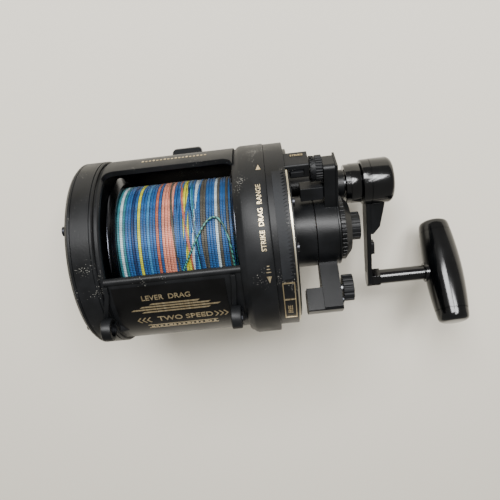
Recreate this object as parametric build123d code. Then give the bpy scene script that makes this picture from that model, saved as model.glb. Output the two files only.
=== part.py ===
"""Two-speed lever-drag trolling reel, built as the pieces it comes apart into.

Row frame, millimetres: +X runs along the spool axis to the handle side, +Y to the rod tip, +Z up.
The origin is the centre of the reel foot's underside. Angles are measured round the spool axis
from straight up, positive towards the front.
"""
import math
import os

from build123d import *

# Stations along the spool axis, left to right.
COVER_OUT = -55.7
LEFT_RING_OUT = -51.7
LEFT_RING_IN = -39.6
WINDOW_LEFT = -37.0
RIGHT_RING_IN = 34.3
RIGHT_RING_OUT = 52.0
HOUSING_OUT = 64.5
BOSS_OUT = 77.3
LEVER_IN = 77.7
LEVER_OUT = 90.0
PRESET_IN = 91.9
PRESET_OUT = 98.3

# Heights and radii of the body.
AXIS_Z = 62.0
LEFT_RING_R = 54.5
RIGHT_RING_R = 56.0
RIGHT_RING_Y = -1.4
RIGHT_RING_Z = AXIS_Z + 0.5
RING_BORE_R = 45.6
HOUSING_R = 54.0
HOUSING_WALL = 1.6
BAR_IN_R = 50.0
BAR_OUT_R = 53.0
LABEL_ANGLES = (-55.0, 2.0)
FRONT_BAR_ANGLES = (75.0, 104.0)
BOTTOM_BAR_ANGLES = (124.0, 208.0)
SHOULDER_R = 52.4

# Harness lugs on the label bar: each stands at the lower end of a rib that leans in X.
LUG_X = ((-43.1, -37.7), (26.4, 31.8))
LUG_ANGLE = -24.5
LUG_RADIUS = 59.2
LUG_R = 6.2
LUG_BORE_R = 4.0
EYELET_R = 5.2
RIB_X = ((-36.9, -43.6), (30.0, 27.2))
RIB_OUT_R = 55.1
RIB_WIDTH = 2.6
RIB_ANGLES = (-31.0, 0.5)

# Foot.
FOOT_LENGTH = 95.0
FOOT_WIDTH = 20.0
FOOT_HOLE_R = 3.1
FOOT_HOLE_PITCH = 68.0

# Spool and line.
SPOOL_LEFT = -36.4
LINE_LEFT = -32.0
LINE_RIGHT = 31.5
FLANGE_R = 44.0
ARBOR_R = 22.0
LINE_R = 38.0
SHAFT_R = 4.0
BEARING_R = 9.5
RUNNING = 0.04

# Gears: two pairs share one centre distance.
MODULE = 0.8
HIGH_PINION, HIGH_GEAR = 18, 55
LOW_PINION, LOW_GEAR = 28, 45
CENTRES = MODULE * (HIGH_PINION + HIGH_GEAR) / 2
HANDLE_ANGLE = 134.86
HIGH_X = (54.6, 57.2)
LOW_X = (58.4, 61.0)

# Lever.
LEVER_HUB_R = 21.5
LEVER_ANGLE = 74.0
TAIL_ANGLE = -60.0
PAD_RADIUS_FROM_AXIS = 42.0
PAD_R = 7.4
STRIKE_ANGLE = 69.0

# Handle.
HANDLE_SHAFT_R = 4.5
HUB_R = 14.2
HUB_X = (109.9, 129.0)
SLEEVE_R = 12.4
SLEEVE_X = (99.6, 109.5)
TOWER_R = 9.2
ARM_X = (112.0, 114.8)
ARM_HALF = (7.0, 5.6)
ARM_LENGTH = 67.4
ARM_DROP = 2.1
KNOB_SHAFT_R = 4.85
GRIP_X = 163.0
GRIP_LENGTH = 70.4
GRIP_MID_R = 12.3
GRIP_END_R = 10.6
GRIP_LEAN = math.degrees(math.atan2(-0.747, 0.665))

os.makedirs("parts", exist_ok=True)


def across(x, y=0.0, z=AXIS_Z):
    """Plane square to the spool axis at station x, its own axes pointing forward and up."""
    return Plane(origin=(x, y, z), x_dir=(0, 1, 0), z_dir=(1, 0, 0))


def place(radius, angle):
    """Forward and up offsets from the spool axis of a point at a radius and an angle."""
    turn = math.radians(angle)
    return radius * math.sin(turn), radius * math.cos(turn)


def disc(x0, x1, radius, y=0.0, z=AXIS_Z):
    return extrude(across(x0, y, z) * Circle(radius), x1 - x0)


def tube(x0, x1, outer, inner, y=0.0, z=AXIS_Z):
    return extrude(across(x0, y, z) * (Circle(outer) - Circle(inner)), x1 - x0)


def turned(points, y=0.0, z=AXIS_Z):
    """Solid of revolution from (station, radius) points."""
    face = make_face(Polyline(*points, close=True))
    return Pos(0, y, z) * revolve(face, axis=Axis.X)


def block(x, y, z):
    """Box from three (low, high) pairs."""
    size = [high - low for low, high in (x, y, z)]
    middle = [(high + low) / 2 for low, high in (x, y, z)]
    return Pos(*middle) * Box(*size)


def polygon(x0, x1, points):
    """Prism along X from (forward, up) points round the spool axis."""
    return extrude(across(x0) * make_face(Polyline(*points, close=True)), x1 - x0)


def sector(x0, x1, inner, outer, low, high):
    """Part of a ring between two angles."""
    middle = (low + high) / 2
    edges = [
        Line(place(inner, low), place(outer, low)),
        ThreePointArc(place(outer, low), place(outer, middle), place(outer, high)),
        Line(place(outer, high), place(inner, high)),
        ThreePointArc(place(inner, high), place(inner, middle), place(inner, low)),
    ]
    return extrude(across(x0) * make_face(edges), x1 - x0)


def radial_box(x, radial, across_width, angle):
    """Box whose second pair runs outwards and third pair runs forwards round the axis."""
    upright = block(x, across_width, radial)
    return Pos(0, 0, AXIS_Z) * Rot(-angle, 0, 0) * upright


def gear(x0, x1, teeth, bore, y, z, tooth_at, backlash=0.07):
    """Spur gear with involute flanks and a tooth centred on the angle tooth_at, in degrees."""
    pitch_r = MODULE * teeth / 2
    base_r = pitch_r * math.cos(math.radians(20))
    root_r = pitch_r - 1.25 * MODULE
    tip_r = pitch_r + 0.95 * MODULE
    roll_at_pitch = math.tan(math.radians(20)) - math.radians(20)
    half_at_pitch = math.pi / (2 * teeth) - backlash / (2 * pitch_r)
    low_r = max(base_r, root_r)
    radii = [low_r + (tip_r - low_r) * step / 4 for step in range(5)]
    flank = [(root_r, half_at_pitch + roll_at_pitch)] if root_r < base_r else []
    for radius in radii:
        pressure = math.acos(min(1.0, base_r / radius))
        flank.append((radius, half_at_pitch + roll_at_pitch - math.tan(pressure) + pressure))
    points = []
    for tooth in range(teeth):
        middle = math.radians(tooth_at) + 2 * math.pi * tooth / teeth
        points += [(r * math.cos(middle - h), r * math.sin(middle - h)) for r, h in flank]
        points += [(r * math.cos(middle + h), r * math.sin(middle + h)) for r, h in reversed(flank)]
    outline = make_face(Polyline(*points, close=True))
    return extrude(across(x0, y, z) * (outline - Circle(bore)), x1 - x0)


def ribbed(x0, x1, radius, count, depth, y=0.0, z=AXIS_Z, bore=0.0):
    """Disc with round grip grooves along its rim."""
    body = across(x0, y, z) * Circle(radius)
    groove = Circle(depth)
    cuts = [across(x0, y, z) * loc * groove for loc in PolarLocations(radius + depth * 0.25, count)]
    body = body - cuts
    if bore:
        body = body - across(x0, y, z) * Circle(bore)
    return extrude(body, x1 - x0)


def ratchet(x0, x1, teeth, root, tip, bore, y, z):
    """Wheel with saw teeth."""
    points = []
    for tooth in range(teeth):
        start = 2 * math.pi * tooth / teeth
        points.append((tip * math.cos(start), tip * math.sin(start)))
        end = start + 1.9 * math.pi / teeth
        points.append((root * math.cos(end), root * math.sin(end)))
    outline = make_face(Polyline(*points, close=True))
    return extrude(across(x0, y, z) * (outline - Circle(bore)), x1 - x0)


def screw(x_seat, direction, y, z, length=7.0, head_r=2.6, shank_r=1.4, head=1.3):
    """Pan-head screw with a driver recess; its head stands out along direction, +1 or -1 in X."""
    low, high = sorted((x_seat, x_seat + direction * head))
    body = disc(low, high, head_r, y, z)
    low, high = sorted((x_seat, x_seat - direction * length))
    body += disc(low, high, shank_r, y, z)
    top = x_seat + direction * head
    low, high = sorted((top, top - direction * 0.7))
    for wide, tall in ((0.45, 1.6), (1.6, 0.45)):
        body -= block((low, high), (y - wide, y + wide), (z - tall, z + tall))
    return body


HANDLE_DY, HANDLE_DZ = place(CENTRES, HANDLE_ANGLE)
HANDLE_Y, HANDLE_Z = HANDLE_DY, AXIS_Z + HANDLE_DZ
KNOB_Y, KNOB_Z = HANDLE_Y - ARM_LENGTH, HANDLE_Z - ARM_DROP
TO_HANDLE = math.degrees(math.atan2(HANDLE_DZ, HANDLE_DY))

# ---- frame and foot ----
left_ring = tube(LEFT_RING_OUT, LEFT_RING_IN, LEFT_RING_R, RING_BORE_R)
left_ring += tube(LEFT_RING_IN - 2.0, LEFT_RING_IN, RING_BORE_R + 1, 20.0)
left_ring -= tube(LEFT_RING_IN - 1.6, LEFT_RING_IN - 0.8, LEFT_RING_R + 1, LEFT_RING_R - 0.5)
right_ring = disc(RIGHT_RING_IN + 2.2, RIGHT_RING_OUT, RIGHT_RING_R, RIGHT_RING_Y, RIGHT_RING_Z)
right_ring += turned(
    [(RIGHT_RING_IN, 0), (RIGHT_RING_IN, 54.0), (RIGHT_RING_IN + 2.2, RIGHT_RING_R), (RIGHT_RING_IN + 2.2, 0)],
    RIGHT_RING_Y,
    RIGHT_RING_Z,
)
right_ring -= disc(RIGHT_RING_IN - 1, RIGHT_RING_OUT + 1, RING_BORE_R)
right_ring -= disc(RIGHT_RING_OUT - 2.4, RIGHT_RING_OUT + 1, 51.0)
label_bar = sector(LEFT_RING_IN, RIGHT_RING_IN, BAR_IN_R, BAR_OUT_R, *LABEL_ANGLES)
bead_y, bead_z = place(51.6, LABEL_ANGLES[1])
label_bar += disc(LEFT_RING_IN, RIGHT_RING_IN, 2.1, bead_y, AXIS_Z + bead_z)
front_bar = sector(LEFT_RING_IN, RIGHT_RING_IN, 50.6, 53.8, *FRONT_BAR_ANGLES)
bottom_bar = sector(LEFT_RING_IN, RIGHT_RING_IN, BAR_IN_R, 53.5, *BOTTOM_BAR_ANGLES)
lug_dy, lug_dz = place(LUG_RADIUS, LUG_ANGLE)
LUG_Y, LUG_Z = lug_dy, AXIS_Z + lug_dz
rib_shell = tube(LEFT_RING_OUT, RIGHT_RING_OUT, RIB_OUT_R, BAR_OUT_R - 0.5)
rib_low_y, rib_high_y = (place(BAR_OUT_R, angle)[0] for angle in RIB_ANGLES)
ears = []
for top_x, bottom_x in RIB_X:
    half = RIB_WIDTH / 2
    rib_face = make_face(
        Polyline(
            (top_x - half, rib_high_y),
            (top_x + half, rib_high_y),
            (bottom_x + half, rib_low_y),
            (bottom_x - half, rib_low_y),
            close=True,
        )
    )
    ears.append((Pos(0, 0, AXIS_Z) * extrude(rib_face, 2 * RIB_OUT_R)) & rib_shell)
for low, high in LUG_X:
    ears.append(disc(low, high, LUG_R, LUG_Y, LUG_Z))
shoulder = tube(LEFT_RING_IN, WINDOW_LEFT, SHOULDER_R, RING_BORE_R)
frame = left_ring + right_ring + shoulder + label_bar + front_bar + bottom_bar + ears
frame -= disc(LINE_LEFT - 6.0, LINE_RIGHT + 3.6, 48.6)
eyelets = []
for low, high in LUG_X:
    frame -= disc(low, high, EYELET_R, LUG_Y, LUG_Z)
    eyelets.append(tube(low, high, EYELET_R, LUG_BORE_R, LUG_Y, LUG_Z))
half = FOOT_LENGTH / 2
side = [(-half, 0), (half, 0), (half, 3.2), (30, 5.6), (25, 12), (-25, 12), (-30, 5.6), (-half, 3.2)]
side = [(y, z - AXIS_Z) for y, z in side]
foot = polygon(-FOOT_WIDTH / 2, FOOT_WIDTH / 2, side) - disc(-20, 20, 53.5)
foot = fillet(foot.edges().filter_by(Axis.Z).filter_by_position(Axis.Y, -90, 90), 2.5)
for y in (-FOOT_HOLE_PITCH / 2, FOOT_HOLE_PITCH / 2):
    foot -= Pos(0, y, 3) * Cylinder(FOOT_HOLE_R, 12)
foot_screws = []
for x in (-5.0, 5.0):
    for y in (-12.0, 12.0):
        shank = Pos(x, y, 5.4) * Cylinder(1.6, 9.2)
        head = Pos(x, y, 1.0) * Cone(3.2, 1.6, 2.0)
        foot_screws.append(shank + head)
for piece in foot_screws:
    frame -= piece
    foot -= piece
label_panel = sector(-33.5, 25.0, BAR_OUT_R, BAR_OUT_R + 0.5, -46.0, -6.0)

# ---- left side ----
BUSH_REACH = 1.2
left_cover = turned(
    [
        (LEFT_RING_OUT, 0), (LEFT_RING_OUT, LEFT_RING_R), (LEFT_RING_OUT - 1.2, LEFT_RING_R),
        (LEFT_RING_OUT - 3.0, LEFT_RING_R - 1.6), (COVER_OUT, LEFT_RING_R - 5), (COVER_OUT, 0),
    ]
)
left_cover += tube(LEFT_RING_OUT, LEFT_RING_OUT + 2.2, RING_BORE_R - 0.05, 42.0)
left_cover += tube(LEFT_RING_OUT, LEFT_RING_OUT + BUSH_REACH, 11.0, 7.0)
left_cover -= disc(LEFT_RING_OUT - 1.5, LEFT_RING_OUT + 3, 7.0)
CLICK_Y, CLICK_TRAVEL = -26.0, 4.0
slot_y = (CLICK_Y - 2.4, CLICK_Y + CLICK_TRAVEL + 2.4)
slot = block((COVER_OUT - 1, LEFT_RING_OUT + 1), slot_y, (-2.3, 2.3))
left_cover -= Pos(0, 0, AXIS_Z) * slot
recess = block((COVER_OUT - 1, COVER_OUT + 0.8), (CLICK_Y - 6, CLICK_Y + CLICK_TRAVEL + 6), (-6, 6))
left_cover -= Pos(0, 0, AXIS_Z) * recess
cover_screws = []
for number in range(5):
    dy, dz = place(48.4, 36 + 72 * number)
    cover_screws.append(screw(COVER_OUT, -1, dy, AXIS_Z + dz, length=9.0))
for piece in cover_screws:
    left_cover -= piece
    frame -= piece
left_bush = tube(LEFT_RING_OUT - 1.5, LEFT_RING_OUT + BUSH_REACH, 7.0, SHAFT_R + RUNNING)
button_z = (AXIS_Z - 2.0, AXIS_Z + 2.0)
click_button = disc(COVER_OUT - 2.4, COVER_OUT + 0.5, 4.6, CLICK_Y, AXIS_Z)
click_button += block((COVER_OUT, -47.6), (CLICK_Y - 2.0, CLICK_Y + 2.0), button_z)
for offset in (-2.4, 0.0, 2.4):
    ridge_y = (CLICK_Y + offset - 0.5, CLICK_Y + offset + 0.5)
    click_button -= block((COVER_OUT - 3, COVER_OUT - 1.9), ridge_y, (50, 70))
pawl_tip = [(CLICK_Y - 2, 2), (CLICK_Y - 2, -2), (CLICK_Y + 2, -2), (CLICK_Y + 5.1, 0), (CLICK_Y + 2, 2)]
click_pawl = polygon(-47.6, -45.4, pawl_tip)

# ---- spool, line and shaft ----
spool = turned(
    [
        (-50.0, 0), (-50.0, 13.0), (-44.0, 13.0), (SPOOL_LEFT - 1.6, 19.0), (SPOOL_LEFT, 24.0),
        (SPOOL_LEFT + 0.4, FLANGE_R - 0.4), (SPOOL_LEFT + 0.9, FLANGE_R), (LINE_LEFT - 3.0, FLANGE_R),
        (LINE_LEFT - 2.4, FLANGE_R - 0.6), (LINE_LEFT, 40.0), (LINE_LEFT, ARBOR_R),
        (LINE_RIGHT, ARBOR_R), (LINE_RIGHT, 40.0), (LINE_RIGHT + 1.6, FLANGE_R),
        (34.6, FLANGE_R), (36.0, 41.0), (38.0, 41.0), (38.0, 0),
    ]
)
spool -= disc(-51, 39, SHAFT_R + 1.0)
spool -= disc(-51, -44.0, BEARING_R)
spool -= disc(31.0, 39, BEARING_R)
spool_bearings = [
    tube(-50.0, -44.0, BEARING_R, SHAFT_R + RUNNING),
    tube(31.0, 37.0, BEARING_R, SHAFT_R + RUNNING),
]
wound_line = tube(LINE_LEFT, LINE_RIGHT, LINE_R, ARBOR_R)
click_gear = ratchet(-47.6, -45.4, 24, 15.0, 16.6, 13.0, 0, AXIS_Z)
drag_washer = tube(38.0, 39.4, 40.0, 22.0)
WASHER_R = 7.4
spring_washers = []
for x in (37.3, 38.3):
    bore = SHAFT_R + 0.3
    spring_washers.append(turned([(x, bore), (x + 0.4, bore), (x + 0.9, WASHER_R), (x + 0.5, WASHER_R)]))
spool_shaft = disc(-52.2, 94.0, SHAFT_R) + disc(95.0 - 1.0, 97.2, SHAFT_R - 0.6)

# Slack turn of line that lies on the wound line; each point is (station, angle).
LOOP_R = 0.55
LOOP_LIFT = 1.25
LOOP_ROUTE = [
    (-4.0, -22.0), (0.0, -9.5), (4.0, 3.0), (8.5, 15.0), (13.0, 26.5), (16.8, 34.5), (20.3, 39.2),
    (23.8, 38.8), (26.7, 32.6), (28.7, 22.8), (29.9, 12.0), (30.4, 1.0), (30.5, -10.0),
]


def on_line(station, angle, lift):
    dy, dz = place(LINE_R + lift, angle)
    return (station, dy, AXIS_Z + dz)


def smooth_path(points):
    """Straight runs joined by tangent arcs as large as the runs allow."""
    corners = []
    for before, here, after in zip(points, points[1:], points[2:]):
        first = Vector(here) - Vector(before)
        second = Vector(after) - Vector(here)
        turn = math.radians(first.get_angle(second))
        corners.append(0.45 * min(first.length, second.length) / math.tan(turn / 2))
    print("line loop radii", [round(radius, 1) for radius in corners])
    return FilletPolyline(*points, radius=corners)


loop_points = [on_line(x, angle, LOOP_LIFT) for x, angle in LOOP_ROUTE]
loop_path = smooth_path(loop_points)
loop_start = Plane(origin=loop_path @ 0, z_dir=loop_path % 0)
line_loop = sweep(loop_start * Circle(LOOP_R), path=loop_path)
print("line loop volume", round(line_loop.volume, 2), round(math.pi * LOOP_R**2 * loop_path.length, 2))

# ---- right side: gear plate, gears, bearings ----
GEAR_PLATE_X = (RIGHT_RING_OUT - 2.4, RIGHT_RING_OUT + 0.4)
gear_plate = disc(*GEAR_PLATE_X, 50.95) - disc(40, 60, 11.0)
gear_plate -= disc(GEAR_PLATE_X[0] - 1, GEAR_PLATE_X[1] + 1, 8.0, HANDLE_Y, HANDLE_Z)
pinion_bearing = tube(*GEAR_PLATE_X, 11.0, 6.0 + RUNNING)
inner_handle_bearing = tube(*GEAR_PLATE_X, 8.0, HANDLE_SHAFT_R + RUNNING, HANDLE_Y, HANDLE_Z)
PAWL_Y, PAWL_Z = 40.0, -10.0
pawl_pin = disc(GEAR_PLATE_X[1], 54.1, 1.6, PAWL_Y, AXIS_Z + PAWL_Z)
plate_screws = []
for angle in (20, 90, 200, 290):
    dy, dz = place(48.3, angle)
    plate_screws.append(screw(GEAR_PLATE_X[1], 1, dy, AXIS_Z + dz, length=6.0, head_r=2.2, head=1.0))
for piece in plate_screws:
    gear_plate -= piece
    frame -= piece
drag_plate = turned([(39.9, 0), (39.9, 41.0), (41.6, 41.0), (42.6, 14.0), (46.5, 12.0), (46.5, 0)])
drag_plate -= disc(39, 47, 6.0)
pinion_sleeve = tube(39.9, 62.2, 6.0, SHAFT_R + RUNNING)
high_pinion = gear(*HIGH_X, HIGH_PINION, 6.0, 0, AXIS_Z, TO_HANDLE)
low_pinion = gear(*LOW_X, LOW_PINION, 6.0, 0, AXIS_Z, TO_HANDLE)
high_gear = gear(
    *HIGH_X, HIGH_GEAR, HANDLE_SHAFT_R, HANDLE_Y, HANDLE_Z, TO_HANDLE + 180 + 180 / HIGH_GEAR
)
for dy, dz in [place(14.0, 60 * number) for number in range(6)]:
    high_gear -= disc(50, 60, 4.2, HANDLE_Y + dy, HANDLE_Z + dz)
low_gear = gear(
    *LOW_X, LOW_GEAR, HANDLE_SHAFT_R + RUNNING, HANDLE_Y, HANDLE_Z, TO_HANDLE + 180 + 180 / LOW_GEAR
)
for dy, dz in [place(11.6, 60 * number + 30) for number in range(6)]:
    low_gear -= disc(50, 65, 3.2, HANDLE_Y + dy, HANDLE_Z + dz)
gear_spacer = tube(HIGH_X[1], LOW_X[0] - 0.2, 7.0, HANDLE_SHAFT_R, HANDLE_Y, HANDLE_Z)
ratchet_wheel = ratchet(52.7, 54.3, 12, 8.2, 10.2, HANDLE_SHAFT_R, HANDLE_Y, HANDLE_Z)
pawl_reach = math.hypot(PAWL_Y - HANDLE_Y, PAWL_Z - HANDLE_DZ) - 10.6
pawl_turn = math.degrees(math.atan2(HANDLE_DY - PAWL_Y, HANDLE_DZ - PAWL_Z))
anti_reverse_pawl = disc(52.8, 54.2, 3.4, 0, 0) + block((52.8, 54.2), (-2.2, 2.2), (0, pawl_reach))
anti_reverse_pawl -= disc(52, 55, 1.6 + RUNNING, 0, 0)
anti_reverse_pawl = Pos(0, PAWL_Y, AXIS_Z + PAWL_Z) * Rot(-pawl_turn, 0, 0) * anti_reverse_pawl

# ---- right side: housing, boss, tower ----
housing = disc(RIGHT_RING_OUT, 62.6, HOUSING_R) + disc(62.6, HOUSING_OUT, 50.0)
housing -= disc(RIGHT_RING_OUT - 1, 62.4, HOUSING_R - HOUSING_WALL + 0.2)
housing -= disc(60, 66, 8.0)
housing -= disc(60, 66, TOWER_R - 2.0, HANDLE_Y, HANDLE_Z)
lever_boss = tube(HOUSING_OUT, BOSS_OUT, LEVER_HUB_R, SHAFT_R + RUNNING)
lever_boss -= tube(HOUSING_OUT + 2, BOSS_OUT - 3, LEVER_HUB_R - 2.2, 9.0)
lever_boss += tube(62.6, HOUSING_OUT, 8.0, SHAFT_R + RUNNING)
boss_ticks = [across(BOSS_OUT - 0.6) * loc * Rectangle(1.0, 0.7) for loc in PolarLocations(LEVER_HUB_R, 60)]
lever_boss -= [extrude(tick, 2) for tick in boss_ticks]
tower = disc(HOUSING_OUT, 99.0, TOWER_R, HANDLE_Y, HANDLE_Z)
tower -= disc(HOUSING_OUT - 1, PRESET_IN - 0.4, LEVER_HUB_R + 0.6)
tower += tube(62.4, HOUSING_OUT, TOWER_R - 2.0, HANDLE_SHAFT_R + 0.3, HANDLE_Y, HANDLE_Z)
tower -= disc(60, 100, HANDLE_SHAFT_R + 0.3, HANDLE_Y, HANDLE_Z)
tower -= disc(94.4, 100, 7.6, HANDLE_Y, HANDLE_Z)
outer_handle_bearing = tube(94.4, 99.0, 7.6, HANDLE_SHAFT_R + RUNNING, HANDLE_Y, HANDLE_Z)
housing_screws = []
for angle in (10, 40, 150, 190, 230, 265):
    dy, dz = place(46.0, angle)
    housing_screws.append(screw(HOUSING_OUT, 1, dy, AXIS_Z + dz, length=3.0, head_r=2.4, head=1.2))
for piece in housing_screws:
    housing -= piece
scale_strip = sector(62.6, 63.4, 50.0, 53.4, -50, 58)
scale_band = sector(54.2, 61.6, HOUSING_R, HOUSING_R + 0.5, -52, 57)
strike_block = radial_box((56.0, 75.5), (43.8, 52.4), (-7.0, 6.4), STRIKE_ANGLE)
strike_block = fillet(strike_block.edges().filter_by(Axis.X), 1.2)
strike_block -= disc(50, 62.6, HOUSING_R) + disc(60, HOUSING_OUT, 50.0)
BUTTON_X, BUTTON_RADIAL = (65.4, 72.4), (45.6, 48.8)
button_slot = radial_box((65.1, 72.7), (45.3, 49.1), (-9.0, 2.4), STRIKE_ANGLE)
strike_block -= button_slot
strike_button = radial_box(BUTTON_X, BUTTON_RADIAL, (-8.4, 0.6), STRIKE_ANGLE)

# ---- drag lever ----
lever_hub = tube(LEVER_IN, LEVER_OUT, LEVER_HUB_R, SHAFT_R + RUNNING)
lever_hub -= tube(LEVER_IN - 1, LEVER_OUT - 4.5, 15.4, 10.0)
upper_arm = radial_box((83.6, LEVER_OUT), (16.0, 46.5), (-7.6, 7.0), LEVER_ANGLE)
upper_arm = fillet(upper_arm.edges().filter_by(Axis.X).sort_by(Axis.Y)[-2:], 3.0)
tail = sector(LEVER_IN, 88.4, 19.0, 50.2, TAIL_ANGLE - 15, TAIL_ANGLE + 15)
tail += sector(68.4, LEVER_IN + 0.1, 36.5, 50.2, TAIL_ANGLE - 14, TAIL_ANGLE + 14)
tail = chamfer(tail.edges().filter_by(Axis.X).group_by(SortBy.LENGTH)[-1], 1.4)
drag_lever = lever_hub + (upper_arm - disc(70, 95, 20.0)) + (tail - disc(60, 95, 20.0))
thumb_y, thumb_z = place(PAD_RADIUS_FROM_AXIS, LEVER_ANGLE)
thumb_pad = ribbed(76.2, 83.6, PAD_R, 26, 0.45, thumb_y, AXIS_Z + thumb_z)
pointer_block = radial_box((70.2, 83.0), (25.4, 33.4), (-6.8, 1.6), LEVER_ANGLE)
pointer_block += radial_box((83.0, 83.6), (26.4, 32.4), (-5.8, 0.6), LEVER_ANGLE)
drag_cam = tube(LEVER_IN + 0.4, LEVER_OUT - 5.2, 15.2, 10.2)
cam_slots = [sector(LEVER_IN, LEVER_IN + 2, 9, 16, 120 * n, 120 * n + 40) for n in range(3)]
drag_cam -= cam_slots
side_plate = disc(LEVER_OUT, LEVER_OUT + 1.3, LEVER_HUB_R + 0.2)
side_plate += radial_box((LEVER_OUT, LEVER_OUT + 1.3), (0, 46.9), (-8.2, 7.4), LEVER_ANGLE)
side_plate -= disc(80, 95, 6.0)
lever_thrust_washer = tube(BOSS_OUT, LEVER_IN - 0.1, 14.0, SHAFT_R + 0.3)
SELECTOR_RADIUS = 36.5
sel_dy, sel_dz = place(SELECTOR_RADIUS, TAIL_ANGLE)
drag_lever -= disc(82.0, 90.0, 2.6 + RUNNING, sel_dy, AXIS_Z + sel_dz)
selector_shaft = disc(82.2, 90.2, 2.6, sel_dy, AXIS_Z + sel_dz)
selector_knob = ribbed(90.2, 96.2, 7.9, 12, 0.9, sel_dy, AXIS_Z + sel_dz)
lever_stop_screw = []
for offset in (-8.6, 8.6):
    dy, dz = place(44.0, TAIL_ANGLE + offset)
    lever_stop_screw.append(screw(88.4, 1, dy, AXIS_Z + dz, length=5.0, head_r=2.0, head=1.0))
for piece in lever_stop_screw:
    drag_lever -= piece

# ---- preset knob ----
preset_knob = ribbed(PRESET_IN, PRESET_OUT, 19.2, 44, 0.6)
cone_start, cone_r = PRESET_IN - 1, 19.6
cone = turned(
    [(cone_start, 0), (cone_start, cone_r), (PRESET_IN + 2.2, cone_r), (PRESET_OUT, 14.6), (PRESET_OUT, 0)]
)
preset_knob = (preset_knob & cone) - disc(90, PRESET_OUT + 1, SHAFT_R + RUNNING)
preset_cap = ribbed(PRESET_OUT, 104.4, 8.4, 18, 0.4) - disc(PRESET_OUT - 1, 99.4, SHAFT_R + RUNNING)

# ---- handle ----
handle_shaft = disc(GEAR_PLATE_X[0], HUB_X[0] + 4.0, HANDLE_SHAFT_R, HANDLE_Y, HANDLE_Z)
handle_sleeve = turned(
    [
        (SLEEVE_X[0], 0), (SLEEVE_X[0], SLEEVE_R - 0.8), (SLEEVE_X[0] + 0.8, SLEEVE_R),
        (SLEEVE_X[1] - 0.8, SLEEVE_R), (SLEEVE_X[1], SLEEVE_R - 0.8), (SLEEVE_X[1], 0),
    ],
    HANDLE_Y,
    HANDLE_Z,
)
handle_hub = turned(
    [
        (HUB_X[0], 0), (HUB_X[0], HUB_R - 1.0), (HUB_X[0] + 1.0, HUB_R - 0.2), (HUB_X[1] - 3.4, HUB_R),
        (HUB_X[1] - 1.4, HUB_R - 1.0), (HUB_X[1], HUB_R - 3.2), (HUB_X[1], 0),
    ],
    HANDLE_Y,
    HANDLE_Z,
)
collar = tube(SLEEVE_X[1], HUB_X[0], 10.0, HANDLE_SHAFT_R, HANDLE_Y, HANDLE_Z)
handle_sleeve -= handle_shaft
handle_hub -= handle_shaft
handle_hub -= disc(HUB_X[1] - 8.0, HUB_X[1] + 1, 6.4, HANDLE_Y, HANDLE_Z)
shift_button = disc(HUB_X[1] - 4.2, HUB_X[1] - 0.2, 6.1, HANDLE_Y, HANDLE_Z)
ARM_SPAN = math.hypot(ARM_LENGTH, ARM_DROP)
arm_place = Plane(
    origin=(ARM_X[0], HANDLE_Y, HANDLE_Z),
    x_dir=(0, -ARM_LENGTH, -ARM_DROP),
    z_dir=(1, 0, 0),
)
arm_corners = [(0, ARM_HALF[0]), (ARM_SPAN, ARM_HALF[1]), (ARM_SPAN, -ARM_HALF[1]), (0, -ARM_HALF[0])]
arm_outline = make_face(Polyline(*arm_corners, close=True)) + Pos(ARM_SPAN, 0) * Circle(ARM_HALF[1])
handle_arm = extrude(arm_place * arm_outline, ARM_X[1] - ARM_X[0])
handle_arm -= disc(100, 130, HUB_R, HANDLE_Y, HANDLE_Z)
fairing_points = [(HUB_R - 2, 0), (33.5, 0), (33.5, 1.6), (28.5, 5.8), (HUB_R - 2, 9.2)]
fairing_side = make_face(Polyline(*fairing_points, close=True))
fairing_plane = Plane(
    origin=arm_place.origin + Vector(ARM_X[1] - ARM_X[0], 0, 0) - arm_place.y_dir * 6.0,
    x_dir=arm_place.x_dir,
    z_dir=-arm_place.y_dir,
)
arm_fairing = extrude(fairing_plane * fairing_side, -12.0)
arm_fairing -= disc(100, HUB_X[1] + 2, HUB_R, HANDLE_Y, HANDLE_Z)
RELEASE_START, RELEASE_END = 40.5, 49.0
release_plane = Plane(
    origin=arm_place.origin + Vector(ARM_X[1] - ARM_X[0] + 0.3, 0, 0),
    x_dir=arm_place.x_dir,
    z_dir=(1, 0, 0),
)
release_face = RectangleRounded(RELEASE_END - RELEASE_START, 7.0, 1.5)
release_slide = extrude(release_plane * (Pos((RELEASE_START + RELEASE_END) / 2, 0) * release_face), 2.2)
knob_nut = extrude(across(ARM_X[1], KNOB_Y, KNOB_Z) * RegularPolygon(6.4, 6), 5.6)
knob_shaft = disc(ARM_X[0], 151.0, KNOB_SHAFT_R, KNOB_Y, KNOB_Z)
knob_shaft += disc(151.0, 168.0, 3.5, KNOB_Y, KNOB_Z)
knob_nut -= knob_shaft
handle_arm -= knob_shaft

# ---- grip ----
half_grip = GRIP_LENGTH / 2
CAP_LENGTH = 8.0
body_end = half_grip - CAP_LENGTH
grip_curve = Spline(
    (-body_end, GRIP_END_R),
    (-13.0, GRIP_MID_R - 0.5),
    (0, GRIP_MID_R),
    (13.0, GRIP_MID_R - 0.5),
    (body_end, GRIP_END_R),
)
grip_closing = Polyline((body_end, GRIP_END_R), (body_end, 0), (-body_end, 0), (-body_end, GRIP_END_R))
grip_place = Pos(GRIP_X, KNOB_Y, KNOB_Z) * Rot(-GRIP_LEAN, 0, 0) * Rot(0, -90, 0)
grip_body = grip_place * revolve(make_face([grip_curve, grip_closing]), axis=Axis.X)
cap_points = [
    (0, 0), (0, GRIP_END_R), (CAP_LENGTH - 2.6, GRIP_END_R - 0.5), (CAP_LENGTH - 1.0, GRIP_END_R - 1.8),
    (CAP_LENGTH, GRIP_END_R - 4.2), (CAP_LENGTH, 0),
]
cap = revolve(make_face(Polyline(*cap_points, close=True)), axis=Axis.X)
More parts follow.
